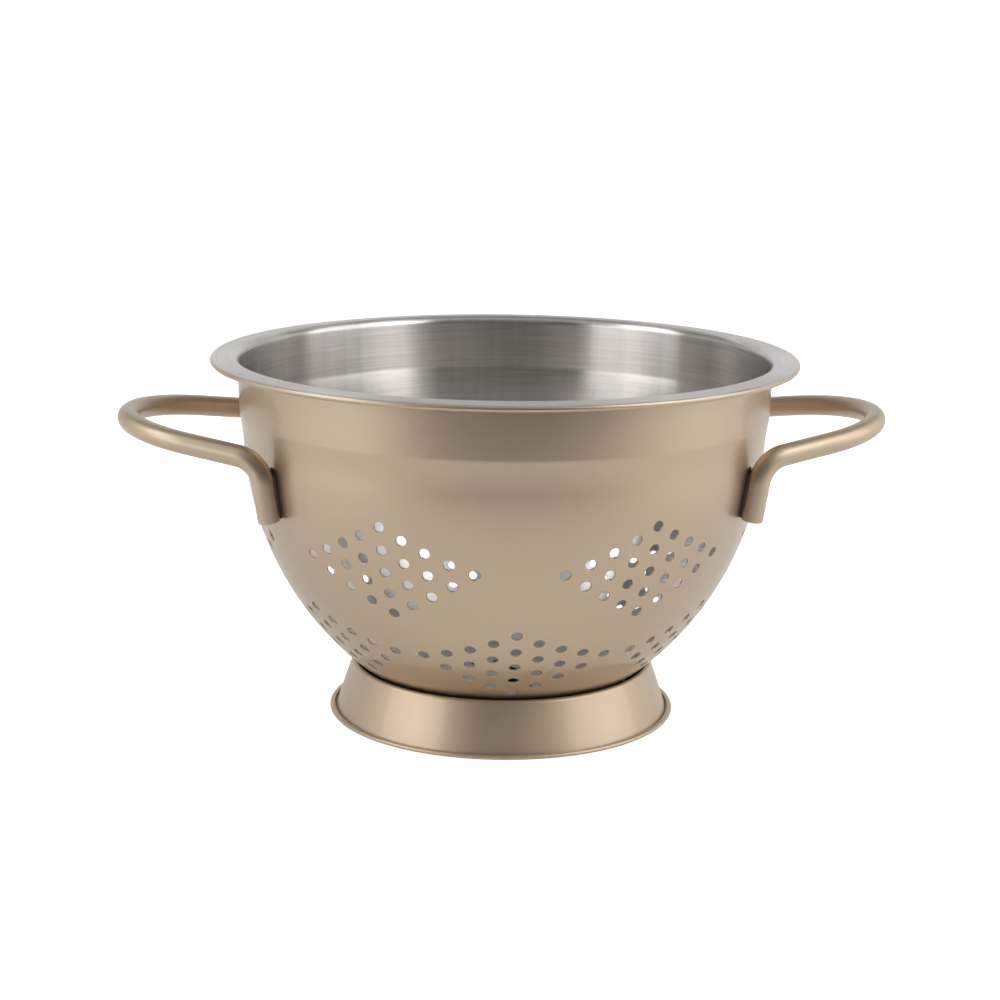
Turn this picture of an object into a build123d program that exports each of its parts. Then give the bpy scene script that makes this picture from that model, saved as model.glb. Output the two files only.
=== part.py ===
from build123d import *
import math
import os

# Footed colander, in millimetres: a flanged sheet steel bowl with punched drain holes, a flared foot ring
# under it, and two bent tube handles. +Z is up, and the origin is on the table, on the bowl's axis.
# The handles lie along X, and each diamond of drain holes is centred on a spoke of a twelve-spoke star.

# Bowl: one sheet, drawn to an arc that is swung about a centre beyond the axis
bowl_sheet = 0.7
wall_arc_radius = 129.0
wall_centre_beyond_axis = 22.0
wall_centre_height = 121.2
wall_point_count = 7
base_height = 12.0
base_knuckle_radius = 12.0

# Bowl: the stacking step, the band above it, and the rim
step_foot_height = 114.0
crease_height = 127.0
crease_radius = 108.4
mouth_radius = 109.2
mouth_bend_reach = 1.3
flange_underside_height = 149.8
flange_fall = 0.7
rim_radius = 120.0
rim_hem_gap = 0.9
rim_hem_bend_reach = 0.26
rim_hem_return = 3.0

# Drain holes: diamonds of staggered rows, each diamond punched in one stroke along one axis
hole_diameter = 4.3
hole_sides = 6
hole_pitch_across = 8.75
hole_pitch_along = 4.76
diamond_side_count = 5
diamonds_per_ring = 6
upper_diamond_height = 80.3
lower_diamond_height = 39.8
punch_travel = 9.5
base_hole_pitch = 9.5
base_hole_rings = 2

# Foot ring: one sheet, with a sloping seat under the bowl, a flared skirt and an upturned hem
foot_sheet = 0.7
seat_gap = 0.3
seat_inner_radius = 52.5
foot_top_radius = 62.3
foot_top_height = 22.1
skirt_bottom_radius = 69.6
foot_radius = 72.2
foot_lip_height = 2.4
shoulder_bend_reach = 1.4
foot_hem_bend_reach = 0.6

# Handles: one tube each, a round loop with two legs that are bent down along the bowl's wall
tube_diameter = 8.7
tube_wall = 1.0
bore_sides = 8
handle_reach = 157.8
loop_radius = 46.1
loop_tilt = 8.2
leg_azimuth = 29.2
leg_corner_height = 116.7
leg_touch_height = 101.0
leg_end_height = 92.0
leg_bend_radius = 11.5
leg_gap = 0.2

# Welds: nuggets in the gap between two pieces, each ending in the sheet or tube that it joins
handle_weld_diameter = 5.0
handle_weld_spacing = 10.0
handle_weld_depth = 0.9
foot_weld_diameter = 4.0
foot_weld_radius = 54.8
foot_weld_depth = 0.8
foot_weld_count = 6
weld_sides = 6
weld_bite = 0.35


def wall_radius(height):
    """Outer radius of the bowl's wall at a height below the step."""
    rise = wall_centre_height - height
    return math.sqrt(wall_arc_radius**2 - rise**2) - wall_centre_beyond_axis


def wall_tilt(height):
    """Angle in degrees by which the wall's outward normal points below the horizontal."""
    return math.degrees(math.asin((wall_centre_height - height) / wall_arc_radius))


def wall_height(radius, clearance=0.0):
    """Height of the bowl's underside at a radius, or of a surface that clears it by a distance."""
    reach = radius + wall_centre_beyond_axis
    return wall_centre_height - math.sqrt((wall_arc_radius + clearance) ** 2 - reach**2)


def wall_plane(azimuth, height):
    """Plane on the outside of the wall, with its Z along the outward normal and its X level."""
    turn = math.radians(azimuth)
    tilt = math.radians(wall_tilt(height))
    radius = wall_radius(height)
    outward = (math.cos(tilt) * math.cos(turn), math.cos(tilt) * math.sin(turn), -math.sin(tilt))
    level = (-math.sin(turn), math.cos(turn), 0)
    origin = (radius * math.cos(turn), radius * math.sin(turn), height)
    return Plane(origin=origin, x_dir=level, z_dir=outward)


def polar_point(radius, azimuth, height):
    """Point at a radius, an azimuth in degrees and a height."""
    turn = math.radians(azimuth)
    return Vector(radius * math.cos(turn), radius * math.sin(turn), height)


def flat_bend(before, corner, after, reach):
    """Ends of the flat that stands for a small bend: they lie on its two legs, at a reach from the corner."""
    return [corner + (leg_end - corner).normalized() * reach for leg_end in (before, after)]


os.makedirs("parts", exist_ok=True)

# Bowl: the base and the wall are drawn face by face, on the same centres. The step, the band and the rim
# are drawn along their underside from the wall's upper end to the hem, then given the sheet's thickness.
flange_edge_height = flange_underside_height - flange_fall
knuckle_centre_height = base_height + base_knuckle_radius
knuckle_swing = wall_arc_radius - base_knuckle_radius
knuckle_turn = math.asin((wall_centre_height - knuckle_centre_height) / knuckle_swing)
flat_radius = knuckle_swing * math.cos(knuckle_turn) - wall_centre_beyond_axis
step_turn = math.radians(wall_tilt(step_foot_height))
crease = Vector(crease_radius, crease_height)
mouth_corner = Vector(mouth_radius, flange_underside_height)
hem_top = Vector(rim_radius - bowl_sheet, flange_edge_height)
hem_bottom = hem_top - Vector(0, rim_hem_gap)
hem_end = hem_bottom - Vector(rim_hem_return, 0)


def base_and_wall(depth):
    """Draw one face of the base and the wall, at a depth into the sheet, and return its upper end."""
    arc_radius = wall_arc_radius - depth
    turns = [
        knuckle_turn + (step_turn - knuckle_turn) * k / (wall_point_count - 1)
        for k in range(wall_point_count)
    ]
    points = [
        (arc_radius * math.cos(turn) - wall_centre_beyond_axis, wall_centre_height - arc_radius * math.sin(turn))
        for turn in turns
    ]
    directions = [(math.sin(turn), math.cos(turn)) for turn in (turns[0], turns[-1])]
    flat_end = (flat_radius, base_height + depth)
    Line((0, base_height + depth), flat_end)
    TangentArc(flat_end, points[0], tangent=(1, 0))
    Spline(*points, tangents=directions)
    return points[-1]


with BuildPart() as bowl:
    with BuildSketch(Plane.XZ):
        with BuildLine():
            wall_end = base_and_wall(0)
            Line(wall_end, base_and_wall(bowl_sheet))
            Line((0, base_height), (0, base_height + bowl_sheet))
        make_face()
        with BuildLine():
            TangentArc(wall_end, crease, tangent=(math.sin(step_turn), math.cos(step_turn)))
            Polyline(
                crease,
                *flat_bend(crease, mouth_corner, hem_top, mouth_bend_reach),
                *flat_bend(mouth_corner, hem_top, hem_bottom, rim_hem_bend_reach),
                *flat_bend(hem_top, hem_bottom, hem_end, rim_hem_bend_reach),
                hem_end,
            )
            offset(amount=bowl_sheet, kind=Kind.INTERSECTION, side=Side.LEFT)
        make_face()
    revolve(axis=Axis.Z)
    plain_bowl = bowl.part

    # Drain holes in the wall: the upper diamonds stand between the lower ones
    last_row = diamond_side_count - 1
    diamond_places = [
        ((i - j) * hole_pitch_across, (i + j - last_row) * hole_pitch_along)
        for i in range(diamond_side_count)
        for j in range(diamond_side_count)
    ]
    diamond_step = 360 / diamonds_per_ring
    for ring_height, first_azimuth in (
        (upper_diamond_height, 0),
        (lower_diamond_height, diamond_step / 2),
    ):
        for diamond in range(diamonds_per_ring):
            azimuth = first_azimuth + diamond * diamond_step
            with BuildSketch(wall_plane(azimuth, ring_height).offset(punch_travel)):
                with Locations(*diamond_places):
                    RegularPolygon(hole_diameter / 2, hole_sides, major_radius=False)

    # Drain holes in the flat of the base: one in the middle, with rings of six and twelve round it
    with BuildSketch(Plane.XY.offset(base_height + punch_travel)):
        RegularPolygon(hole_diameter / 2, hole_sides, major_radius=False)
        for ring in range(1, base_hole_rings + 1):
            with PolarLocations(ring * base_hole_pitch, 6 * ring):
                RegularPolygon(hole_diameter / 2, hole_sides, major_radius=False)
    extrude(amount=-2 * punch_travel, clean=False, mode=Mode.SUBTRACT)
bowl.part.label = "bowl"
export_step(bowl.part, "parts/bowl.step")

# Foot ring: its outside is drawn from the seat to the lip, then given the sheet's thickness inwards
seat_inner = Vector(seat_inner_radius, wall_height(seat_inner_radius, seat_gap))
shoulder = Vector(foot_top_radius, foot_top_height)
skirt_bottom = Vector(skirt_bottom_radius, foot_sheet)
lip_bottom = Vector(foot_radius - foot_sheet, foot_sheet)
lip_top = Vector(foot_radius - foot_sheet, foot_lip_height)

with BuildPart() as foot_ring:
    with BuildSketch(Plane.XZ):
        with BuildLine():
            Polyline(
                seat_inner,
                *flat_bend(seat_inner, shoulder, skirt_bottom, shoulder_bend_reach),
                *flat_bend(shoulder, skirt_bottom, lip_bottom, foot_hem_bend_reach),
                *flat_bend(skirt_bottom, lip_bottom, lip_top, foot_hem_bend_reach),
                lip_top,
            )
            offset(amount=foot_sheet, kind=Kind.INTERSECTION, side=Side.RIGHT)
        make_face()
    revolve(axis=Axis.Z)
foot_ring.part.label = "foot_ring"
export_step(foot_ring.part, "parts/foot_ring.step")

# Handle: legs along the wall, arms that run tangent into the round end of the loop, one sloping plane
tube_radius = tube_diameter / 2
leg_slope = math.tan(math.radians(wall_tilt(leg_touch_height)))
leg_stand_off = (tube_radius + leg_gap) * math.hypot(1, leg_slope)
leg_touch_radius = wall_radius(leg_touch_height) + leg_stand_off


def leg_point(height, side):
    """Point on a leg's centreline, on the -Y or +Y side."""
    radius = leg_touch_radius + (height - leg_touch_height) * leg_slope
    return polar_point(radius, side * leg_azimuth, height)


corner = leg_point(leg_corner_height, -1)
loop_plane = Plane.XY.move(Location((corner.X, 0, corner.Z), (0, -loop_tilt, 0)))
loop_reach = (handle_reach - tube_radius - corner.X) / math.cos(math.radians(loop_tilt))
loop_centre_reach = loop_reach - loop_radius
corner_distance = math.hypot(loop_centre_reach, corner.Y)
arm_turn = math.atan2(-corner.Y, loop_centre_reach) - math.asin(loop_radius / corner_distance)
tangent_x = loop_centre_reach + loop_radius * math.sin(arm_turn)
tangent_y = loop_radius * math.cos(arm_turn)
arm_ends = [loop_plane.from_local_coords(Vector(tangent_x, side * tangent_y)) for side in (-1, 1)]
loop_tip = loop_plane.from_local_coords(Vector(loop_reach, 0))

with BuildPart() as right_handle:
    with BuildLine() as centreline:
        FilletPolyline(leg_point(leg_end_height, -1), corner, arm_ends[0], radius=leg_bend_radius)
        ThreePointArc(arm_ends[0], loop_tip, arm_ends[1])
        FilletPolyline(
            arm_ends[1],
            leg_point(leg_corner_height, 1),
            leg_point(leg_end_height, 1),
            radius=leg_bend_radius,
        )
    with BuildSketch(Plane(origin=centreline.line @ 0, z_dir=centreline.line % 0)):
        Circle(tube_radius)
        RegularPolygon(tube_radius - tube_wall, bore_sides, mode=Mode.SUBTRACT)
    sweep(path=centreline.line)
right_handle.part.label = "right_handle"
export_step(right_handle.part, "parts/right_handle.step")

with BuildPart() as left_handle:
    add(right_handle.part, rotation=(0, 0, 180))
left_handle.part.label = "left_handle"
export_step(left_handle.part, "parts/left_handle.step")

# Handle welds: two nuggets behind each leg, cut back to the wall and the tube that they fuse
with BuildPart() as right_handle_welds:
    for azimuth in (-leg_azimuth, leg_azimuth):
        for height in (
            leg_touch_height - handle_weld_spacing / 2,
            leg_touch_height + handle_weld_spacing / 2,
        ):
            with BuildSketch(wall_plane(azimuth, height).offset(-weld_bite)):
                RegularPolygon(handle_weld_diameter / 2, weld_sides)
            extrude(amount=weld_bite + handle_weld_depth)
    add(plain_bowl, mode=Mode.SUBTRACT)
    add(right_handle.part, mode=Mode.SUBTRACT)
right_handle_welds.part.label = "right_handle_welds"
export_step(right_handle_welds.part, "parts/right_handle_welds.step")

with BuildPart() as left_handle_welds:
    add(right_handle_welds.part, rotation=(0, 0, 180))
left_handle_welds.part.label = "left_handle_welds"
export_step(left_handle_welds.part, "parts/left_handle_welds.step")

# Foot welds: nuggets between the bowl and the foot's seat, cut back to both
foot_weld_height = wall_height(foot_weld_radius)

with BuildPart() as foot_welds:
    for weld in range(foot_weld_count):
        azimuth = (weld + 0.5) * 360 / foot_weld_count
        with BuildSketch(wall_plane(azimuth, foot_weld_height).offset(-weld_bite)):
            RegularPolygon(foot_weld_diameter / 2, weld_sides)
        extrude(amount=weld_bite + foot_weld_depth)
    add(plain_bowl, mode=Mode.SUBTRACT)
    add(foot_ring.part, mode=Mode.SUBTRACT)
foot_welds.part.label = "foot_welds"
export_step(foot_welds.part, "parts/foot_welds.step")
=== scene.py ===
import math

import bpy
import numpy as np
from mathutils import Matrix, Vector
from mathutils.geometry import delaunay_2d_cdt


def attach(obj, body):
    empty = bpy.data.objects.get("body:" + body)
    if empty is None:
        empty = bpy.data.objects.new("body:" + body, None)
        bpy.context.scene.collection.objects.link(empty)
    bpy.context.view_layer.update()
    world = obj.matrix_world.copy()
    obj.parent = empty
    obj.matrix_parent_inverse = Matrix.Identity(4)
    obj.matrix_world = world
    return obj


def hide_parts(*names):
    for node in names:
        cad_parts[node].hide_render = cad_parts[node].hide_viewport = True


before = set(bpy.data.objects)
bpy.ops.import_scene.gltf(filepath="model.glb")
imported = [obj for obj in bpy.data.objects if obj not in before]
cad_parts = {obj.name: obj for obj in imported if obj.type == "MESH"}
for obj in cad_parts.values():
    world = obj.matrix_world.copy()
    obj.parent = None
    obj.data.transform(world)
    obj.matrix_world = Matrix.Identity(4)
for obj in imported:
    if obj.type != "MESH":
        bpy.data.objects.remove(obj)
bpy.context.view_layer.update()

# A footed colander in champagne lacquer over steel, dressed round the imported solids. Shapes are worked out in
# millimetres on the frame's axes (+Z up, handles along X) and written to the meshes in metres.

MM = 0.001
TURN_STEPS = 240
EDGE_STEPS = 6

SHEET = 0.7
WALL_CENTRE = np.array([-22.0, 121.2])
WALL_RADIUS = 129.0
BASE_HEIGHT = 12.0
KNUCKLE_RADIUS = 12.0
STEP_FOOT_HEIGHT = 114.0
CREASE = np.array([108.4, 127.0])
MOUTH_CORNER = np.array([109.2, 149.8])
CREASE_BEND_RADIUS = 10.0
CREASE_LEAD_TURN = 0.012
MOUTH_BEND_RADIUS = 2.8
RIM_RADIUS = 120.0
HEM_GAP = 0.9
HEM_RETURN = 3.0
FLANGE_FALL = 0.7
LACQUER_EDGE_TURN = math.radians(45)

HOLE_RADIUS = 2.15
HOLE_EDGE = 0.25
HOLE_POINTS = 16
HOLE_CLEARANCE = 0.9
BORE_START_DEPTH = 0.16
BORE_END_DEPTH = 0.1
PITCH_ACROSS = 8.75
PITCH_ALONG = 4.76
DIAMOND_SIDE = 5
DIAMONDS_IN_RING = 6
BASE_HOLE_PITCH = 9.5
PERFORATED_HEIGHT = 104.0
# The height of each ring of diamonds, and the azimuth of its first one in degrees
RINGS = {80.3: 0.0, 39.8: 30.0}
SKIN_SPACING = 4.6
MERGE_DISTANCE = 1e-7
NEWTON_STEPS = 8

FOOT_SEAT_RADIUS = 52.5
SEAT_GAP = 0.3
FOOT_CORNERS = [(62.3, 22.1), (69.6, 0.7), (71.35, 0.7)]
FOOT_FILLETS = [1.5, 0.75]
FOOT_FOLD_RADIUS = 0.15
FOOT_FOLD_END = 70.6
SHADED_SEAT_ROWS = 5

TUBE_RADIUS = 4.35
TUBE_WALL = 1.0
TUBE_POINTS = 48
LOOP_RADIUS = 46.1
LOOP_TILT = math.radians(8.2)
HANDLE_REACH = 157.8
LEG_AZIMUTH = math.radians(29.2)
LEG_CORNER_HEIGHT = 116.7
LEG_TOUCH_HEIGHT = 101.0
LEG_END_HEIGHT = 92.0
LEG_BEND_RADIUS = 11.5
LEG_GAP = 0.2
# The dark seams beside the legs: weld beads, and painted shade along the crevice between tube and wall
SEAM_HEIGHTS = (92.4, 113.5)
SEAM_DEPTH = 1.8
SEAM_HALF_WIDTH = 3.2
SEAM_CLEARANCE = 0.08
SEAM_SIDE_SHARE = 0.93


def unit(vectors):
    """Each vector divided by its own length."""
    return vectors / np.linalg.norm(vectors, axis=-1, keepdims=True)


def turned(vector, angles):
    """A plane vector turned by each of the angles, counter-clockwise."""
    c, s = np.cos(angles), np.sin(angles)
    return np.stack([c * vector[0] - s * vector[1], s * vector[0] + c * vector[1]], -1)


def line_stroke(start, end, steps, side):
    """Evenly spaced points from start to end, with the normal on the left (side 1) or right (side -1)."""
    share = np.linspace(0, 1, steps + 1)[:, None]
    start, end = np.asarray(start, float), np.asarray(end, float)
    along = unit(end - start)
    normal = side * np.array([-along[1], along[0]])
    return start + share * (end - start), np.repeat(normal[None], steps + 1, 0)


def arc_stroke(centre, radius, first, last, steps, sign):
    """Points on a circle from the first angle to the last, with normals away from its centre (sign 1) or
    towards it (sign -1)."""
    angles = np.linspace(first, last, steps + 1)
    spokes = np.stack([np.cos(angles), np.sin(angles)], -1)
    return np.asarray(centre) + radius * spokes, sign * spokes


def joined(*strokes):
    """Strokes one after another, each without its first point, which the stroke before already has."""
    points = np.concatenate([s[0] if i == 0 else s[0][1:] for i, s in enumerate(strokes)])
    normals = np.concatenate([s[1] if i == 0 else s[1][1:] for i, s in enumerate(strokes)])
    return points, normals


def filleted(corners, radii, steps, side, line_steps=6):
    """A line through corners, rounded at each inner one: it leaves the incoming leg radius * tan(turn / 2)
    before the corner, follows a circle tangent to both legs, and meets the outgoing leg as far beyond it."""
    corners = [np.asarray(c, float) for c in corners]
    strokes, start = [], corners[0]
    for before, corner, after, radius in zip(corners, corners[1:], corners[2:], radii):
        into, out = unit(corner - before), unit(after - corner)
        turn = math.atan2(into[0] * out[1] - into[1] * out[0], float(into @ out))
        reach = radius * math.tan(abs(turn) / 2)
        first = corner - into * reach
        strokes.append(line_stroke(start, first, line_steps, side))
        left = np.array([-into[1], into[0]])
        centre = first + math.copysign(radius, turn) * left
        angles = np.linspace(0, turn, steps + 1)
        strokes.append((centre + turned(first - centre, angles), turned(side * left, angles)))
        start = corner + out * reach
    strokes.append(line_stroke(start, corners[-1], line_steps, side))
    return joined(*strokes)


def piece(name, points, faces, corner_normals, materials, face_materials=None):
    """One finished mesh: points in millimetres, faces as arrays of corner numbers (three or four to a face),
    and a normal for every face corner, so that smooth parts shade smoothly and true edges stay sharp."""
    mesh = bpy.data.meshes.new(name)
    counts = np.concatenate([np.full(len(f), f.shape[1]) for f in faces])
    corners = np.concatenate([f.ravel() for f in faces]).astype(np.int32)
    starts = np.concatenate([[0], np.cumsum(counts)[:-1]]).astype(np.int32)
    mesh.vertices.add(len(points))
    mesh.vertices.foreach_set("co", (np.asarray(points) * MM).astype(np.float32).ravel())
    mesh.loops.add(len(corners))
    mesh.loops.foreach_set("vertex_index", corners)
    mesh.polygons.add(len(counts))
    mesh.polygons.foreach_set("loop_start", starts)
    mesh.polygons.foreach_set("use_smooth", np.ones(len(counts), bool))
    for material in materials:
        mesh.materials.append(material)
    if face_materials is not None:
        mesh.polygons.foreach_set("material_index", np.asarray(face_materials, np.int32))
    mesh.update(calc_edges=True)
    mesh.validate()
    normals = np.concatenate([n.reshape(-1, 3) for n in corner_normals])
    mesh.normals_split_custom_set(unit(normals).tolist())
    thing = bpy.data.objects.new(name, mesh)
    bpy.context.scene.collection.objects.link(thing)
    return thing


def grid_faces(rows, columns, closed_rows=True, closed_columns=True):
    """Corner numbers of the quads of a grid numbered row by row, which may close on itself both ways."""
    r = np.arange(rows if closed_rows else rows - 1)
    c = np.arange(columns if closed_columns else columns - 1)
    r0, c0 = np.meshgrid(r, c, indexing="ij")
    r1, c1 = (r0 + 1) % rows, (c0 + 1) % columns
    corners = [r0 * columns + c0, r0 * columns + c1, r1 * columns + c1, r1 * columns + c0]
    return np.stack(corners, -1).reshape(-1, 4)


def sheet_loop(points, normals, thickness):
    """The closed outline of a sheet from one of its faces: that face, a half-round edge, the other face at
    the sheet's thickness, and a half-round edge back."""
    half = thickness / 2
    ahead = unit(points[-1] - points[-2])
    behind = unit(points[0] - points[1])
    far = points - thickness * normals
    swing = np.linspace(0, math.pi, EDGE_STEPS + 1)[1:-1, None]
    end_normals = np.cos(swing) * normals[-1] + np.sin(swing) * ahead
    start_normals = np.cos(swing) * -normals[0] + np.sin(swing) * behind
    end = points[-1] - half * normals[-1] + half * end_normals
    start = points[0] - half * normals[0] + half * start_normals
    loop = np.concatenate([points, end, far[::-1], start])
    return loop, np.concatenate([normals, end_normals, -normals[::-1], start_normals])


def spun_sheet(name, points, normals, thickness, steps, materials, second_rows):
    """A sheet of revolution: its closed outline (radius, height) turned about Z in even steps. The first rows
    of its outer face take the second material."""
    loop, loop_normals = sheet_loop(points, normals, thickness)
    angles = np.linspace(0, 2 * math.pi, steps, endpoint=False)
    place, facing = (swung(line[None], angles[:, None]).reshape(-1, 3) for line in (loop, loop_normals))
    faces = grid_faces(steps, len(loop))
    column = faces[:, 0] % len(loop)
    faces = outward(faces, place, facing)
    return piece(name, place, [faces], [facing[faces]], materials, column < second_rows)


def outward(faces, points, normals):
    """The faces with their corners' order turned round where needed, so that they face along the normals."""
    a, b, c = (points[faces[:, k]] for k in (0, 1, 2))
    backward = (np.cross(b - a, c - a) * normals[faces].sum(1)).sum(-1).sum() < 0
    return faces[:, ::-1] if backward else faces


# The bowl's underside: base, knuckle, wall, step, band, flange and hem, as one tangent line out from the axis
knuckle_turn = math.asin((WALL_CENTRE[1] - BASE_HEIGHT - KNUCKLE_RADIUS) / (WALL_RADIUS - KNUCKLE_RADIUS))
knuckle_normal = np.array([math.cos(knuckle_turn), -math.sin(knuckle_turn)])
knuckle_centre = WALL_CENTRE + (WALL_RADIUS - KNUCKLE_RADIUS) * knuckle_normal
flat_length = knuckle_centre[0]
wall_start = flat_length + KNUCKLE_RADIUS * (math.pi / 2 - knuckle_turn)
perforated_turn = math.asin((WALL_CENTRE[1] - PERFORATED_HEIGHT) / WALL_RADIUS)
perforated_length = wall_start + WALL_RADIUS * (knuckle_turn - perforated_turn)
step_turn = math.asin((WALL_CENTRE[1] - STEP_FOOT_HEIGHT) / WALL_RADIUS)
step_normal = np.array([math.cos(step_turn), -math.sin(step_turn)])
step_foot = WALL_CENTRE + WALL_RADIUS * step_normal
step_reach = CREASE - step_foot
step_radius = float(step_reach @ step_reach) / (2 * float(step_reach @ step_normal))
step_centre = step_foot + step_radius * step_normal
crease_spoke = CREASE - step_centre
crease_angle = math.atan2(crease_spoke[1], crease_spoke[0]) + CREASE_LEAD_TURN
crease_start = step_centre + step_radius * np.array([math.cos(crease_angle), math.sin(crease_angle)])
hem_radius = HEM_GAP / 2
hem_centre = np.array([RIM_RADIUS - SHEET - hem_radius, MOUTH_CORNER[1] - FLANGE_FALL - hem_radius])
flange_end = hem_centre + np.array([0, hem_radius])
hem_end = hem_centre - np.array([0, hem_radius])

# The strokes whose other face is bare steel inside the bowl, and the rest of the rim
rim_bends = [CREASE_BEND_RADIUS, MOUTH_BEND_RADIUS]
steel_rows = [
    arc_stroke(WALL_CENTRE, WALL_RADIUS, -perforated_turn, -step_turn, 3, 1),
    arc_stroke(step_centre, step_radius, math.pi - step_turn, crease_angle, 6, -1),
    filleted([crease_start, CREASE, MOUTH_CORNER, flange_end], rim_bends, 7, -1),
    arc_stroke(hem_centre, hem_radius, math.pi / 2, LACQUER_EDGE_TURN, 3, -1),
]
steel_row_count = len(joined(*steel_rows)[0])
rim_points, rim_normals = joined(
    *steel_rows,
    arc_stroke(hem_centre, hem_radius, LACQUER_EDGE_TURN, -math.pi / 2, 8, -1),
    line_stroke(hem_end, hem_end - np.array([HEM_RETURN, 0.0]), 2, -1),
)


def underside(s):
    """The bowl's underside and its outward normal, as (radius, height), at a length s along it from the axis:
    a flat out to the knuckle, the knuckle's arc, then the wall's arc about a centre beyond the axis."""
    s = np.asarray(s, float)
    flat = s < flat_length
    bend = ~flat & (s < wall_start)
    wall_turn = knuckle_turn - (s - wall_start) / WALL_RADIUS
    turn = np.where(bend, math.pi / 2 - (s - flat_length) / KNUCKLE_RADIUS, wall_turn)
    turn = np.where(flat, math.pi / 2, turn)
    normals = np.stack([np.cos(turn), -np.sin(turn)], -1)
    wall = WALL_CENTRE + WALL_RADIUS * normals
    knuckle = knuckle_centre + KNUCKLE_RADIUS * normals
    base = np.stack([s, np.full_like(s, BASE_HEIGHT)], -1)
    points = np.where(flat[..., None], base, np.where(bend[..., None], knuckle, wall))
    return points, np.where(flat[..., None], [0.0, -1.0], normals)


def swung(profile, azimuths):
    """Points or vectors (radius, height) turned to their azimuths about Z."""
    radius, height = profile[..., 0], profile[..., 1] + 0 * azimuths
    return np.stack([radius * np.cos(azimuths), radius * np.sin(azimuths), height], -1)


def hole_circles(radius):
    """The outline of every drain hole on the bowl's underside, at a radius round the hole's own axis. Each
    diamond shares one punching direction, the wall's normal at its centre; the flat's holes are punched along
    Z. A circle's points slide along that direction until they meet the wall's surface of revolution (Newton
    steps). Gives the points' places, their lengths and azimuths on the underside, and the directions into the
    sheet."""
    ring = np.linspace(0, 2 * math.pi, HOLE_POINTS, endpoint=False)
    circle = radius * np.stack([np.cos(ring), np.sin(ring)], -1)
    side = np.arange(DIAMOND_SIDE)
    i, j = (g.ravel() for g in np.meshgrid(side, side, indexing="ij"))
    lattice = np.stack([(i - j) * PITCH_ACROSS, (i + j - DIAMOND_SIDE + 1) * PITCH_ALONG], -1)
    flat = (lattice[:, None] + circle).reshape(-1, 2)
    places, inward = [], []
    for height, first in RINGS.items():
        tilt = math.asin((WALL_CENTRE[1] - height) / WALL_RADIUS)
        reach = WALL_CENTRE[0] + WALL_RADIUS * math.cos(tilt)
        for k in range(DIAMONDS_IN_RING):
            az = math.radians(first + 360 * k / DIAMONDS_IN_RING)
            out = np.array([math.cos(tilt) * math.cos(az), math.cos(tilt) * math.sin(az), -math.sin(tilt)])
            level = np.array([-math.sin(az), math.cos(az), 0.0])
            up = np.cross(out, level)
            start = np.array([reach * math.cos(az), reach * math.sin(az), height])
            p = start + flat[:, :1] * level + flat[:, 1:] * up
            for _ in range(NEWTON_STEPS):
                r = np.hypot(p[:, 0], p[:, 1])
                miss = np.hypot(r - WALL_CENTRE[0], p[:, 2] - WALL_CENTRE[1]) - WALL_RADIUS
                level_spoke = p[:, :2] / r[:, None] * (r - WALL_CENTRE[0])[:, None]
                spoke = np.column_stack([level_spoke, p[:, 2] - WALL_CENTRE[1]])
                p = p - (miss / (unit(spoke) @ out))[:, None] * out
            places.append(p)
            inward.append(np.repeat(-out[None], len(p), 0))
    centres = [np.zeros((1, 2))]
    for ring_number in (1, 2):
        angles = np.arange(6 * ring_number) * 2 * math.pi / (6 * ring_number)
        centres.append(ring_number * BASE_HOLE_PITCH * np.stack([np.cos(angles), np.sin(angles)], -1))
    flat = (np.concatenate(centres)[:, None] + circle).reshape(-1, 2)
    places.append(np.column_stack([flat, np.full(len(flat), BASE_HEIGHT)]))
    inward.append(np.repeat([[0.0, 0.0, 1.0]], len(flat), 0))
    p, inward = np.concatenate(places), np.concatenate(inward)
    r = np.hypot(p[:, 0], p[:, 1])
    turn = np.arcsin(np.clip((WALL_CENTRE[1] - p[:, 2]) / WALL_RADIUS, -1, 1))
    length = np.where(r < flat_length - 1, r, wall_start + (knuckle_turn - turn) * WALL_RADIUS)
    return p, length, np.arctan2(p[:, 1], p[:, 0]), inward


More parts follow.
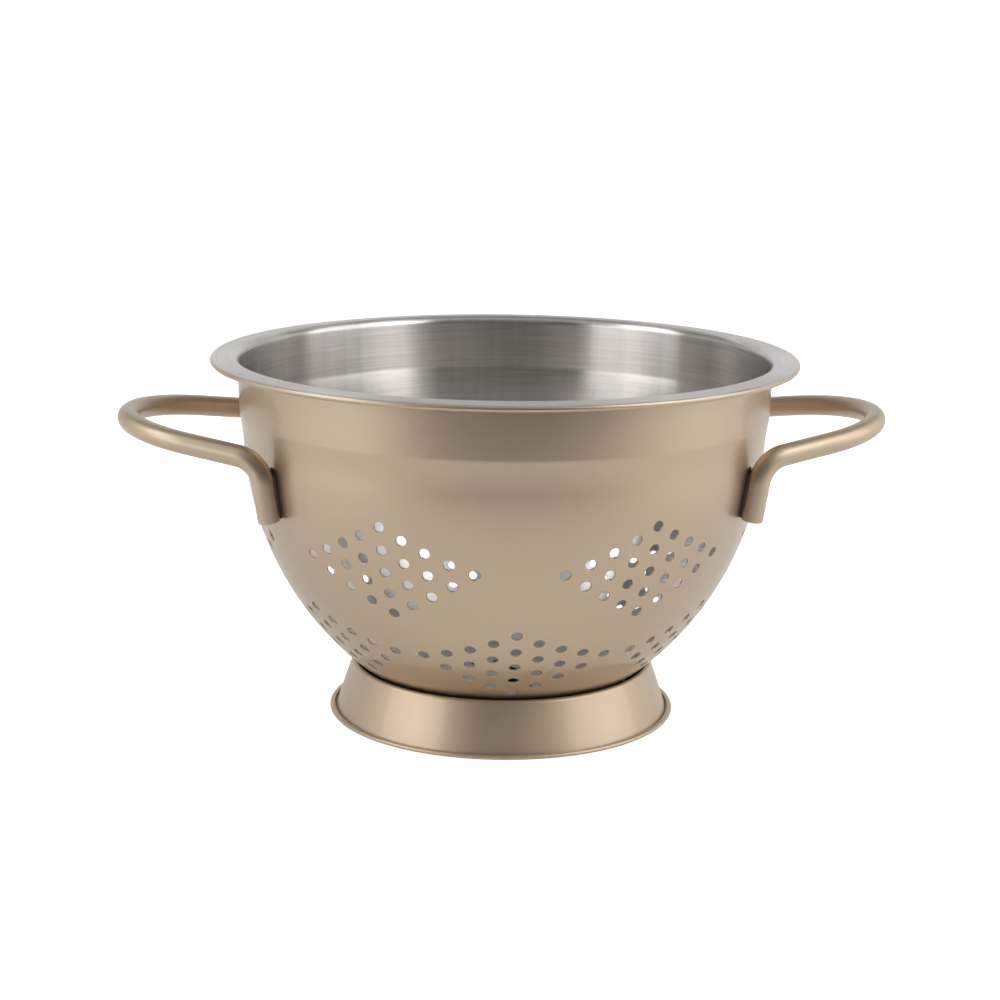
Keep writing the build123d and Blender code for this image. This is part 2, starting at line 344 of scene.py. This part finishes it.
def perforated_skin():
    """A triangulation of the holed part of the underside, worked out on the flat disc whose radius is the
    length along the underside: rows of evenly spaced points, kept clear of the holes, and each hole's
    outline. Gives every point's length and azimuth, the triangles, and the numbers of the outermost row's
    points."""
    _, length, azimuth, _ = hole_circles(HOLE_RADIUS + HOLE_EDGE)
    hole_count = len(length) // HOLE_POINTS
    loops = np.stack([length * np.cos(azimuth), length * np.sin(azimuth)], -1)
    centres = loops.reshape(hole_count, HOLE_POINTS, 2).mean(1)
    radii = np.linalg.norm(loops.reshape(hole_count, HOLE_POINTS, 2) - centres[:, None], axis=2).max(1)
    rows = []
    steps = round(perforated_length / SKIN_SPACING)
    for s in np.linspace(0, perforated_length, steps + 1)[1:-1]:
        count = max(6, round(2 * math.pi * float(underside(s)[0][0]) / SKIN_SPACING))
        angles = np.arange(count) * 2 * math.pi / count + s
        rows.append(s * np.stack([np.cos(angles), np.sin(angles)], -1))
    grid = np.concatenate(rows)
    gap = np.linalg.norm(grid[:, None] - centres[None], axis=2) - radii[None]
    grid = grid[gap.min(1) > HOLE_CLEARANCE]
    angles = np.linspace(0, 2 * math.pi, TURN_STEPS, endpoint=False)
    edge = perforated_length * np.stack([np.cos(angles), np.sin(angles)], -1)
    flat = np.concatenate([loops, edge, grid])
    around = np.arange(len(loops)).reshape(hole_count, HOLE_POINTS)
    edges = np.stack([around, np.roll(around, -1, 1)], -1).reshape(-1, 2)
    corners = [Vector(p) for p in flat.tolist()]
    _, _, triangles, kept, _, _ = delaunay_2d_cdt(corners, edges.tolist(), [], 0, MERGE_DISTANCE)
    source = np.array([k[0] for k in kept])
    triangles = source[np.array(triangles)]
    hole_numbers = np.repeat(np.arange(hole_count), HOLE_POINTS)
    owner = np.concatenate([hole_numbers, -1 - np.arange(len(flat) - len(loops))])
    own = owner[triangles]
    inside = (own[:, 0] == own[:, 1]) & (own[:, 1] == own[:, 2])
    lengths, azimuths = np.hypot(flat[:, 0], flat[:, 1]), np.arctan2(flat[:, 1], flat[:, 0])
    return lengths, azimuths, triangles[~inside], len(loops) + np.arange(TURN_STEPS)


def bowl_mesh(materials):
    """The bowl as one closed sheet. The underside is a surface of revolution; the other skin lies one sheet's
    thickness along its normals. Holes are lined with short tubes along their punching directions, and the
    rim's two skins meet in a half-round at the end of the hem."""
    lengths, azimuths, triangles, edge = perforated_skin()
    profile, normal = underside(lengths)
    skin = len(lengths)
    outer, outer_facing = swung(profile, azimuths), swung(normal, azimuths)
    outlines, _, _, inward = hole_circles(HOLE_RADIUS + HOLE_EDGE)
    bore, _, _, _ = hole_circles(HOLE_RADIUS)
    outer[: len(outlines)] = outlines
    inner = outer - SHEET * outer_facing
    centre = bore.reshape(-1, HOLE_POINTS, 3).mean(1).repeat(HOLE_POINTS, 0)
    spoke = centre - bore
    facing_in = unit(spoke - (spoke * inward).sum(1)[:, None] * inward)
    bore_top, bore_bottom = bore + BORE_START_DEPTH * inward, bore + (SHEET - BORE_END_DEPTH) * inward

    turns = np.linspace(0, 2 * math.pi, TURN_STEPS, endpoint=False)
    # The rim's outline stays open where it meets the skins, so the half-round at its start is left off
    loop, loop_normals = (line[: 1 - EDGE_STEPS] for line in sheet_loop(rim_points, rim_normals, SHEET))
    rim, rim_facing = (swung(a[:, None], turns[None]).reshape(-1, 3) for a in (loop, loop_normals))
    rows = len(loop)

    points = np.concatenate([outer, inner, bore_top, bore_bottom, rim])
    holes = len(outlines)
    top_start, bottom_start, rim_start = 2 * skin, 2 * skin + holes, 2 * skin + 2 * holes
    around = np.arange(holes).reshape(-1, HOLE_POINTS)
    after = np.roll(around, -1, 1)

    def strip(first, second):
        """Quads between two rings of every hole, given where each ring's points start."""
        return np.stack([first + around, first + after, second + after, second + around], -1).reshape(-1, 4)

    facing = np.concatenate([outer_facing, -outer_facing, facing_in, facing_in, rim_facing])
    groups, corner_normals, slots = [], [], []
    lacquered, bare = 0, 1

    def add(faces, slot_numbers):
        """Faces for the mesh, turned outwards, with one material slot for them all or one for each."""
        faces = outward(faces, points, facing)
        groups.append(faces)
        corner_normals.append(facing[faces])
        slots.append(np.broadcast_to(slot_numbers, len(faces)))

    add(triangles, lacquered)
    add(triangles + skin, bare)
    add(strip(0, top_start), lacquered)
    add(strip(top_start, bottom_start), lacquered)
    add(strip(bottom_start, skin), bare)
    quads = grid_faces(rows, TURN_STEPS, closed_rows=False)
    row_of = quads[:, 0] // TURN_STEPS
    steel = row_of >= rows - steel_row_count
    remap = rim_start + np.arange(rows * TURN_STEPS)
    remap[:TURN_STEPS] = edge
    remap[-TURN_STEPS:] = edge + skin
    add(remap[quads], np.where(steel, bare, lacquered))
    return piece("bowl_sheet_shell", points, groups, corner_normals, materials, np.concatenate(slots))


def arc_between(start, direction, normal, radius, turn, steps):
    """Points and directions along a circle in space: from start, heading in a direction, turning towards the
    normal at right angles to it by the given angle."""
    centre = start + radius * normal
    angles = np.linspace(0, turn, steps + 1)[:, None]
    points = centre - radius * np.cos(angles) * normal + radius * np.sin(angles) * direction
    return points, np.cos(angles) * direction + np.sin(angles) * normal


def handle_path():
    """The right handle's centreline: a leg up the wall, a bend, an arm that runs tangent into the loop's arc,
    and the same back to the other leg. Gives points and directions, evenly dense on the bends."""
    drop = WALL_CENTRE[1] - LEG_TOUCH_HEIGHT
    wall_reach = math.sqrt(WALL_RADIUS**2 - drop**2)
    slope = drop / wall_reach
    touch = WALL_CENTRE[0] + wall_reach + (TUBE_RADIUS + LEG_GAP) * math.hypot(1, slope)

    def leg_point(height):
        """The point of the first leg's centreline at a height."""
        r = touch + (height - LEG_TOUCH_HEIGHT) * slope
        return np.array([r * math.cos(LEG_AZIMUTH), -r * math.sin(LEG_AZIMUTH), height])

    foot, corner = leg_point(LEG_END_HEIGHT), leg_point(LEG_CORNER_HEIGHT)
    across = np.array([0.0, 1.0, 0.0])
    ahead = np.array([math.cos(LOOP_TILT), 0.0, math.sin(LOOP_TILT)])
    origin = np.array([corner[0], 0.0, corner[2]])
    reach = (HANDLE_REACH - TUBE_RADIUS - corner[0]) / math.cos(LOOP_TILT)
    centre_reach = reach - LOOP_RADIUS
    turn = math.atan2(-corner[1], centre_reach) - math.asin(LOOP_RADIUS / math.hypot(centre_reach, corner[1]))
    forward, sideways = centre_reach + LOOP_RADIUS * math.sin(turn), LOOP_RADIUS * math.cos(turn)
    arm_end = origin + forward * ahead - sideways * across
    up, out = unit(corner - foot), unit(arm_end - corner)
    bend = math.acos(float(up @ out))
    setback = LEG_BEND_RADIUS * math.tan(bend / 2)
    first = corner - up * setback
    side = unit(out - (out @ up) * up)
    leg = (foot + np.linspace(0, 1, 5)[:, None] * (first - foot), np.repeat(up[None], 5, 0))
    elbow = arc_between(first, up, side, LEG_BEND_RADIUS, bend, 16)
    second = corner + out * setback
    arm = (second + np.linspace(0, 1, 5)[:, None] * (arm_end - second), np.repeat(out[None], 5, 0))
    inward = unit(origin + centre_reach * ahead - arm_end)
    loop = arc_between(arm_end, out, inward, LOOP_RADIUS, math.pi - 2 * turn, 64)
    mirror = np.array([1.0, -1.0, 1.0])
    back = [(p[::-1] * mirror, -d[::-1] * mirror) for p, d in (arm, elbow, leg)]
    return joined(leg, elbow, arm, loop, *back)


def tube_mesh(name, points, directions, materials):
    """A tube round a centreline, with its bore and rounded ends: each ring lies square to the line's
    direction, and is turned about it so that one spoke is at right angles to a fixed direction that the line
    never takes."""
    directions = unit(directions)
    first = unit(np.cross(directions, np.array([1.0, -1.0, -1.0])))
    second = np.cross(directions, first)
    half = TUBE_WALL / 2
    centres = points.copy()
    centres[0] += half * directions[0]
    centres[-1] -= half * directions[-1]
    swing = np.linspace(0, math.pi, 8)[1:-1]
    last = len(points) - 1
    out, back, cap = np.arange(last + 1), np.arange(last, -1, -1), len(swing)
    order = np.concatenate([out, np.full(cap, last), back, np.zeros(cap, int)])
    radial = np.concatenate([np.ones(last + 1), np.cos(swing), -np.ones(last + 1), -np.cos(swing)])
    axial = np.concatenate([np.zeros(last + 1), np.sin(swing), np.zeros(last + 1), -np.sin(swing)])
    radii = TUBE_RADIUS - half + half * radial
    angles = np.linspace(0, 2 * math.pi, TUBE_POINTS, endpoint=False)
    c, s = np.cos(angles)[None, :, None], np.sin(angles)[None, :, None]
    spokes = c * first[order][:, None] + s * second[order][:, None]
    along = directions[order][:, None]
    place = centres[order][:, None] + radii[:, None, None] * spokes + (half * axial)[:, None, None] * along
    facing = radial[:, None, None] * spokes + axial[:, None, None] * along
    place, facing = place.reshape(-1, 3), facing.reshape(-1, 3)
    faces = outward(grid_faces(len(order), TUBE_POINTS), place, facing)
    return piece(name, place, [faces], [facing[faces]], materials)


def weld_and_shade_seams(name, path, materials):
    """Two dark beads in the narrow wedges between a loop's legs and the bowl: weld beads, and painted shade
    that stands in for the crevice's shadow along each leg. At each height a bead's outline is a closed ring
    that follows the wall's circle, crosses to the tube's and follows it back. The ring's half width goes with
    the square root of 1 - share^2 and its greatest depth from the wall with
    1 - share^2 itself, so that the bead thins to a point at the top and the bottom."""
    share = np.linspace(-1, 1, 28)[1:-1]
    low, high = SEAM_HEIGHTS
    heights = (low + high) / 2 + (high - low) / 2 * share
    leg = path[: len(path) // 2]
    centre = np.stack([np.interp(heights, leg[:, 2], leg[:, k]) for k in (0, 1)], -1)
    reach = np.linalg.norm(centre, axis=1)[:, None]
    radial = centre / reach
    level = np.stack([-radial[:, 1], radial[:, 0]], -1)
    wall = (WALL_CENTRE[0] + np.sqrt(WALL_RADIUS**2 - (heights - WALL_CENTRE[1]) ** 2))[:, None]
    taper = np.sqrt(1 - share**2)[:, None]
    half = SEAM_HALF_WIDTH * taper
    across = half * np.linspace(-1, 1, 9)
    mid = across.shape[1] // 2
    near = np.sqrt((wall + SEAM_CLEARANCE) ** 2 - across**2)
    tube = reach - np.sqrt((TUBE_RADIUS + SEAM_CLEARANCE) ** 2 - across**2)
    far = np.minimum(tube, near + SEAM_DEPTH * taper**2)
    middle = (near[:, -1:] + far[:, -1:]) / 2
    bulge = SEAM_SIDE_SHARE * half
    ring_across = np.concatenate([across, bulge, across[:, ::-1], -bulge], 1)[..., None]
    ring_reach = np.concatenate([near, middle, far[:, ::-1], middle], 1)[..., None]
    plan = ring_reach * radial[:, None] + ring_across * level[:, None]
    rings = np.concatenate([plan, np.broadcast_to(heights[:, None, None], plan.shape[:2] + (1,))], -1)
    count = rings.shape[1]
    ends = ((0, low), (-1, high))
    tips = np.array([[*(0.5 * (near[k, mid] + far[k, mid]) * radial[k]), z] for k, z in ends])
    points = np.concatenate([rings.reshape(-1, 3), tips])
    spokes = (rings - rings.mean(1, keepdims=True)).reshape(-1, 3)
    facing = unit(np.concatenate([spokes, [[0, 0, -1], [0, 0, 1]]]))
    around = np.arange(count)
    last = (len(share) - 1) * count
    bottom = np.stack([around, np.roll(around, -1), np.full(count, len(points) - 2)], -1)
    top = np.stack([last + around, last + np.roll(around, -1), np.full(count, len(points) - 1)], -1)
    places, groups, normals = [], [], []
    for number, mirror in enumerate(np.array([[1.0, 1.0, 1.0], [1.0, -1.0, 1.0]])):
        place, turned_facing = points * mirror, facing * mirror
        places.append(place)
        for faces in (grid_faces(len(share), count, closed_rows=False), bottom, top):
            faces = outward(faces, place, turned_facing)
            groups.append(faces + number * len(points))
            normals.append(turned_facing[faces])
    return piece(name, np.concatenate(places), groups, normals, materials)


def value_socket(group, name, default):
    """An input of a shader group that takes a number, with its default."""
    socket = group.interface.new_socket(name, in_out="INPUT", socket_type="NodeSocketFloat")
    socket.default_value = default


def mottle_group():
    """Shader group: soft cloudy variation between two values: noise on object coordinates, whose middle part,
    from 0.3 to 0.7, is spread from the low value to the high one."""
    group = bpy.data.node_groups.new("Mottle", "ShaderNodeTree")
    value_socket(group, "Scale", 40.0)
    value_socket(group, "Low", 0.3)
    value_socket(group, "High", 0.4)
    group.interface.new_socket("Value", in_out="OUTPUT", socket_type="NodeSocketFloat")
    nodes, links = group.nodes, group.links
    inputs, outputs = nodes.new("NodeGroupInput"), nodes.new("NodeGroupOutput")
    place, noise, fit = (nodes.new("ShaderNode" + kind) for kind in ("TexCoord", "TexNoise", "MapRange"))
    noise.inputs["Detail"].default_value = 3.0
    fit.inputs["From Min"].default_value = 0.3
    fit.inputs["From Max"].default_value = 0.7
    links.new(place.outputs["Object"], noise.inputs["Vector"])
    links.new(inputs.outputs["Scale"], noise.inputs["Scale"])
    links.new(noise.outputs["Fac"], fit.inputs["Value"])
    links.new(inputs.outputs["Low"], fit.inputs["To Min"])
    links.new(inputs.outputs["High"], fit.inputs["To Max"])
    links.new(fit.outputs["Result"], outputs.inputs["Value"])
    return group


def pebble_group():
    """Shader group: the faint dimpled skin of sprayed lacquer, a normal bent by fine noise on object
    coordinates, taken as a height."""
    group = bpy.data.node_groups.new("Pebble", "ShaderNodeTree")
    value_socket(group, "Scale", 900.0)
    value_socket(group, "Strength", 0.1)
    value_socket(group, "Height", 0.00002)
    group.interface.new_socket("Normal", in_out="OUTPUT", socket_type="NodeSocketVector")
    nodes, links = group.nodes, group.links
    inputs, outputs = nodes.new("NodeGroupInput"), nodes.new("NodeGroupOutput")
    place, noise, bump = (nodes.new("ShaderNode" + kind) for kind in ("TexCoord", "TexNoise", "Bump"))
    noise.inputs["Detail"].default_value = 1.5
    links.new(place.outputs["Object"], noise.inputs["Vector"])
    links.new(inputs.outputs["Scale"], noise.inputs["Scale"])
    links.new(noise.outputs["Fac"], bump.inputs["Height"])
    links.new(inputs.outputs["Strength"], bump.inputs["Strength"])
    links.new(inputs.outputs["Height"], bump.inputs["Distance"])
    links.new(bump.outputs["Normal"], outputs.inputs["Normal"])
    return group


def grouped(material, group, label, **values):
    """A use of a shader group in a material, with its inputs set."""
    node = material.node_tree.nodes.new("ShaderNodeGroup")
    node.node_tree = group
    node.label = label
    for name, value in values.items():
        node.inputs[name].default_value = value
    return node


def new_material(name):
    """An empty material with one Principled BSDF, and that shader."""
    material = bpy.data.materials.new(name)
    material.use_nodes = True
    return material, material.node_tree.nodes["Principled BSDF"]


MOTTLE, PEBBLE = mottle_group(), pebble_group()
CHAMPAGNE = (0.56, 0.44, 0.317)
SATIN_SPREAD = 0.025
PAPER_GLOW = 0.158
PAPER_GLOW_TO_EYE = 0.5
SKY_LIGHT = 0.005
SKY_LIGHT_TO_EYE = 0.8


def lacquer(name, colour, rough, dimple):
    """Champagne lacquer with metal flake over steel: a tinted metal under a clear coat. Its roughness is the
    given one, give or take a soft cloudy variation, and fine dimples bend its normal."""
    material, shader = new_material(name)
    links = material.node_tree.links
    shader.inputs["Base Color"].default_value = (*colour, 1.0)
    shader.inputs["Metallic"].default_value = 0.92
    shader.inputs["Coat Weight"].default_value = 0.55
    shader.inputs["Coat Roughness"].default_value = 0.12
    low, high = rough - SATIN_SPREAD, rough + SATIN_SPREAD
    satin = grouped(material, MOTTLE, "uneven satin", Scale=26.0, Low=low, High=high)
    skin = grouped(material, PEBBLE, "sprayed skin", Scale=1100.0, Strength=dimple, Height=0.00003)
    links.new(satin.outputs["Value"], shader.inputs["Roughness"])
    links.new(skin.outputs["Normal"], shader.inputs["Normal"])
    return material


def math_node(nodes, operation, *values):
    """A Math node with its constant inputs set; an input given as None is left for a link."""
    node = nodes.new("ShaderNodeMath")
    node.operation = operation
    for socket, value in zip(node.inputs, values):
        if value is not None:
            socket.default_value = value
    return node


def brushed_steel(name):
    """Bare steel, spun in a lathe: fine threads tint it round the axis, from noise that is drawn out along
    them, and weaker columns up the wall vary its tint and its roughness. Highlights stretch across the
    threads."""
    material, shader = new_material(name)
    nodes, links = material.node_tree.nodes, material.node_tree.links
    shader.inputs["Metallic"].default_value = 1.0
    shader.inputs["Anisotropic"].default_value = 0.94
    shader.inputs["Anisotropic Rotation"].default_value = 0.25
    kinds = ("TexCoord", "SeparateXYZ", "CombineXYZ")
    place, split, flat = (nodes.new("ShaderNode" + kind) for kind in kinds)
    links.new(place.outputs["Object"], split.inputs["Vector"])
    links.new(split.outputs["X"], flat.inputs["X"])
    links.new(split.outputs["Y"], flat.inputs["Y"])
    radius, heading = nodes.new("ShaderNodeVectorMath"), nodes.new("ShaderNodeVectorMath")
    radius.operation, heading.operation = "LENGTH", "NORMALIZE"
    links.new(flat.outputs["Vector"], radius.inputs[0])
    links.new(flat.outputs["Vector"], heading.inputs[0])
    climb = math_node(nodes, "ADD")
    links.new(radius.outputs["Value"], climb.inputs[0])
    links.new(split.outputs["Z"], climb.inputs[1])
    axes = nodes.new("ShaderNodeSeparateXYZ")
    links.new(heading.outputs["Vector"], axes.inputs["Vector"])

    def streaks(round_scale, climb_scale, detail):
        """Noise on the heading round the axis and the climb up the profile, each at its own scale."""
        join, noise = nodes.new("ShaderNodeCombineXYZ"), nodes.new("ShaderNodeTexNoise")
        for axis in ("X", "Y"):
            scaled = math_node(nodes, "MULTIPLY", None, round_scale)
            links.new(axes.outputs[axis], scaled.inputs[0])
            links.new(scaled.outputs["Value"], join.inputs[axis])
        scaled = math_node(nodes, "MULTIPLY", None, climb_scale)
        links.new(climb.outputs["Value"], scaled.inputs[0])
        links.new(scaled.outputs["Value"], join.inputs["Z"])
        noise.inputs["Scale"].default_value = 1.0
        noise.inputs["Detail"].default_value = detail
        links.new(join.outputs["Vector"], noise.inputs["Vector"])
        return noise.outputs["Fac"]

    threads = streaks(round_scale=3.0, climb_scale=900.0, detail=3.0)
    columns = streaks(round_scale=24.0, climb_scale=6.0, detail=4.0)
    grain = math_node(nodes, "MULTIPLY_ADD", None, 0.45, None)
    links.new(columns, grain.inputs[0])
    links.new(threads, grain.inputs[2])
    rough = nodes.new("ShaderNodeMapRange")
    for socket, value in (("From Min", 0.3), ("From Max", 0.7), ("To Min", 0.275), ("To Max", 0.295)):
        rough.inputs[socket].default_value = value
    links.new(columns, rough.inputs["Value"])
    links.new(rough.outputs["Result"], shader.inputs["Roughness"])
    tint = nodes.new("ShaderNodeValToRGB")
    dark, pale = tint.color_ramp.elements
    dark.position, dark.color = 0.55, (0.575, 0.55, 0.525, 1.0)
    pale.position, pale.color = 0.9, (0.685, 0.66, 0.632, 1.0)
    links.new(grain.outputs["Value"], tint.inputs["Fac"])
    links.new(tint.outputs["Color"], shader.inputs["Base Color"])
    round_axis = nodes.new("ShaderNodeVectorMath")
    round_axis.operation = "CROSS_PRODUCT"
    round_axis.inputs[0].default_value = (0.0, 0.0, 1.0)
    links.new(heading.outputs["Vector"], round_axis.inputs[1])
    links.new(round_axis.outputs["Vector"], shader.inputs["Tangent"])
    return material


def studio_paper(name):
    """Matt white paper for the stage, which glows a little, and more to the eye alone, as an overexposed
    backdrop does. The disc that the foot ring shuts in doesn't glow."""
    material, shader = new_material(name)
    shader.inputs["Base Color"].default_value = (0.86, 0.86, 0.86, 1.0)
    shader.inputs["Roughness"].default_value = 0.9
    shader.inputs["Specular IOR Level"].default_value = 0.1
    shader.inputs["Emission Color"].default_value = (1.0, 1.0, 1.0, 1.0)
    nodes, links = material.node_tree.nodes, material.node_tree.links
    path = nodes.new("ShaderNodeLightPath")
    glow = math_node(nodes, "MULTIPLY_ADD", None, PAPER_GLOW_TO_EYE, PAPER_GLOW)
    links.new(path.outputs["Is Camera Ray"], glow.inputs[0])
    place, distance = nodes.new("ShaderNodeTexCoord"), nodes.new("ShaderNodeVectorMath")
    distance.operation = "LENGTH"
    links.new(place.outputs["Object"], distance.inputs[0])
    outside = math_node(nodes, "GREATER_THAN", None, FOOT_FOLD_END * MM)
    links.new(distance.outputs["Value"], outside.inputs[0])
    lit = math_node(nodes, "MULTIPLY")
    links.new(glow.outputs["Value"], lit.inputs[0])
    links.new(outside.outputs["Value"], lit.inputs[1])
    links.new(lit.outputs["Value"], shader.inputs["Emission Strength"])
    return material


LACQUER = lacquer("champagne_lacquer", CHAMPAGNE, 0.42, 0.12)
SOFT_LACQUER = lacquer("soft_champagne_lacquer", CHAMPAGNE, 0.5, 0.12)
STEEL = brushed_steel("brushed_steel")
# Near-black lacquer: the welds' own colour, and painted shade wherever it lines a crevice
WELD_AND_PAINTED_SHADE = lacquer("weld_and_painted_shade_lacquer", (0.06, 0.045, 0.034), 0.55, 0.3)


def dressed(thing, node):
    """The piece takes a node's place in the object: it hangs from the root, and the node is hidden."""
    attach(thing, "root")
    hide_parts(node)


dressed(bowl_mesh([LACQUER, STEEL]), "bowl")

seat_reach = FOOT_SEAT_RADIUS - WALL_CENTRE[0]
seat_start = (FOOT_SEAT_RADIUS, WALL_CENTRE[1] - math.sqrt((WALL_RADIUS + SEAT_GAP) ** 2 - seat_reach**2))
fold_centre = np.array(FOOT_CORNERS[-1]) + np.array([0.0, FOOT_FOLD_RADIUS])
fold_top = fold_centre + np.array([0.0, FOOT_FOLD_RADIUS])
foot_points, foot_normals = joined(
    filleted([seat_start, *FOOT_CORNERS], FOOT_FILLETS, 8, 1, 4),
    arc_stroke(fold_centre, FOOT_FOLD_RADIUS, -math.pi / 2, math.pi / 2, 8, -1),
    line_stroke(fold_top, (FOOT_FOLD_END, fold_top[1]), 2, 1),
)
# The seat's first rows, hidden in the crevice under the bowl, take the near-black weld lacquer as painted shade
foot = spun_sheet(
    "foot_ring_shell", foot_points, foot_normals, SHEET, TURN_STEPS, [SOFT_LACQUER, WELD_AND_PAINTED_SHADE], SHADED_SEAT_ROWS
)
dressed(foot, "foot_ring")

handle_points, handle_directions = handle_path()
half_turn = np.array([-1.0, -1.0, 1.0])
right = tube_mesh("right_handle_tube", handle_points, handle_directions, [SOFT_LACQUER])
dressed(right, "right_handle")
left = tube_mesh("left_handle_tube", handle_points * half_turn, handle_directions * half_turn, [SOFT_LACQUER])
dressed(left, "left_handle")

# Each loop's legs get dark seams: weld beads, and painted shade in the crevice against the bowl
dressed(weld_and_shade_seams("right_handle_weld_and_shade_seams", handle_points, [WELD_AND_PAINTED_SHADE]), "right_handle_welds")
dressed(weld_and_shade_seams("left_handle_weld_and_shade_seams", handle_points * half_turn, [WELD_AND_PAINTED_SHADE]), "left_handle_welds")
# The foot's welds take the near-black lacquer too: real welds, and painted shade in the joint between foot and
# bowl
for material_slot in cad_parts["foot_welds"].material_slots:
    material_slot.material = WELD_AND_PAINTED_SHADE


def light(name, place, target, size, power):
    """A soft rectangular light that faces a target."""
    data = bpy.data.lights.new(name, "AREA")
    data.shape = "RECTANGLE"
    data.size, data.size_y = size
    data.energy = power
    thing = bpy.data.objects.new(name, data)
    thing.location = place
    thing.rotation_euler = (Vector(target) - Vector(place)).to_track_quat("-Z", "Y").to_euler()
    bpy.context.scene.collection.objects.link(thing)


def softbox(name, place, target, size, powers):
    """A soft light of four equal panels in one plane, which faces a target. The powers are those of the lower
    row and then of the upper row, each from the light's own left to its right."""
    turn = (Vector(target) - Vector(place)).to_track_quat("-Z", "Y")
    for row, level in enumerate((-0.25, 0.25)):
        for column, side in enumerate((-0.25, 0.25)):
            shift = turn @ Vector((side * size[0], level * size[1], 0.0))
            centre, aim = Vector(place) + shift, Vector(target) + shift
            light(f"{name}_{row}{column}", centre, aim, (size[0] / 2, size[1] / 2), powers[row][column])


def sweep(name, half_width, front, back, height, bend, material):
    """A studio floor that rises behind the object in a quarter-round of the given radius into a wall."""
    swing = np.linspace(0, math.pi / 2, 17)
    y = np.concatenate([[front], back - bend + bend * np.sin(swing), [back]])
    z = np.concatenate([[0.0], bend - bend * np.cos(swing), [height]])
    sides = np.array([-half_width, half_width])
    place = np.stack(np.broadcast_arrays(sides[None], y[:, None], z[:, None]), -1).reshape(-1, 3) / MM
    slope = np.concatenate([[0.0], swing, [math.pi / 2]])
    facing = np.repeat(np.stack([0 * slope, -np.sin(slope), np.cos(slope)], -1), 2, 0)
    faces = outward(grid_faces(len(y), 2, False, False), place, facing)
    return piece(name, place, [faces], [facing[faces]], [material])


floor = sweep("studio_floor", 2.2, -0.5, 1.7, 1.6, 0.6, studio_paper("studio_paper"))

# The room beyond the paper is pale to the eye alone, and dim as a light
world = bpy.data.worlds.new("studio")
world.use_nodes = True
sky = world.node_tree.nodes["Background"]
sky.inputs["Color"].default_value = (0.95, 0.97, 1.0, 1.0)
seen = world.node_tree.nodes.new("ShaderNodeLightPath")
pale = math_node(world.node_tree.nodes, "MULTIPLY_ADD", None, SKY_LIGHT_TO_EYE, SKY_LIGHT)
world.node_tree.links.new(seen.outputs["Is Camera Ray"], pale.inputs[0])
world.node_tree.links.new(pale.outputs["Value"], sky.inputs["Strength"])
bpy.context.scene.world = world

softbox("right_softbox", (1.32, -0.42, 0.75), (0, 0, 0.08), (1.6, 1.6), ((3.0, 4.0), (7.6, 3.5)))
softbox("left_softbox", (-1.29, -0.5, 0.7), (0, 0, 0.08), (1.35, 1.6), ((2.9, 4.4), (6.4, 0.6)))
light("top_light", (0.0, -0.3, 1.5), (0, -0.3, 0), (2.2, 0.9), 4.2)
light("table_light", (0.0, 0.7, 1.1), (0, 0.8, 0), (1.6, 0.6), 1.0)
light("front_light", (0.0, -1.3, 1.3), (0, 0, 0.1), (1.4, 0.8), 1.0)
light("right_fill", (1.55, 0.62, 0.6), (0, 0, 0.08), (1.0, 1.2), 2.3)
light("left_fill", (-1.55, 0.62, 0.6), (0, 0, 0.08), (1.0, 1.2), 2.1)
light("right_back_light", (1.6, 1.2, 0.6), (0, 0, 0.1), (1.0, 1.2), 1.1)
light("back_light", (0, 1.4, 1.3), (0, 0, 0.1), (1.8, 0.6), 1.5)

# Camera: where the photo's perspective puts it, with a slight clockwise roll
yaw, pitch, roll, swing_angle = (math.radians(degrees) for degrees in (-0.0913, 12.759, 0.7, 3.8))
distance, eye_height = 882.3, 288.3
focal_pixels, picture_pixels, sensor_width = 2175.0, 1000.0, 36.0
upright = np.array([0.0, 0.0, 1.0])
right_axis = np.array([math.cos(swing_angle), -math.sin(swing_angle), 0.0])
away_axis = np.array([math.sin(swing_angle), math.cos(swing_angle), 0.0])
to_frame = np.stack([right_axis, away_axis, upright], 1)
look_right = to_frame @ np.array([math.cos(yaw), -math.sin(yaw), 0.0])
level_ahead = np.array([math.sin(yaw), math.cos(yaw), 0.0])
look_ahead = to_frame @ (math.cos(pitch) * level_ahead - math.sin(pitch) * upright)
look_up = to_frame @ (math.sin(pitch) * level_ahead + math.cos(pitch) * upright)
rolled_right = math.cos(roll) * look_right + math.sin(roll) * look_up
rolled_up = math.cos(roll) * look_up - math.sin(roll) * look_right
eye = (eye_height * upright - distance * away_axis) * MM
turn = Matrix(np.stack([rolled_right, rolled_up, -look_ahead], 1).tolist()).to_4x4()
camera_data = bpy.data.cameras.new("photo_camera")
camera_data.sensor_width = sensor_width
camera_data.lens = focal_pixels * sensor_width / picture_pixels
camera_data.clip_start = 0.05
camera = bpy.data.objects.new("photo_camera", camera_data)
camera.matrix_world = Matrix.Translation(Vector(eye)) @ turn
bpy.context.scene.collection.objects.link(camera)
bpy.context.scene.camera = camera
bpy.context.scene.view_settings.view_transform = "Standard"
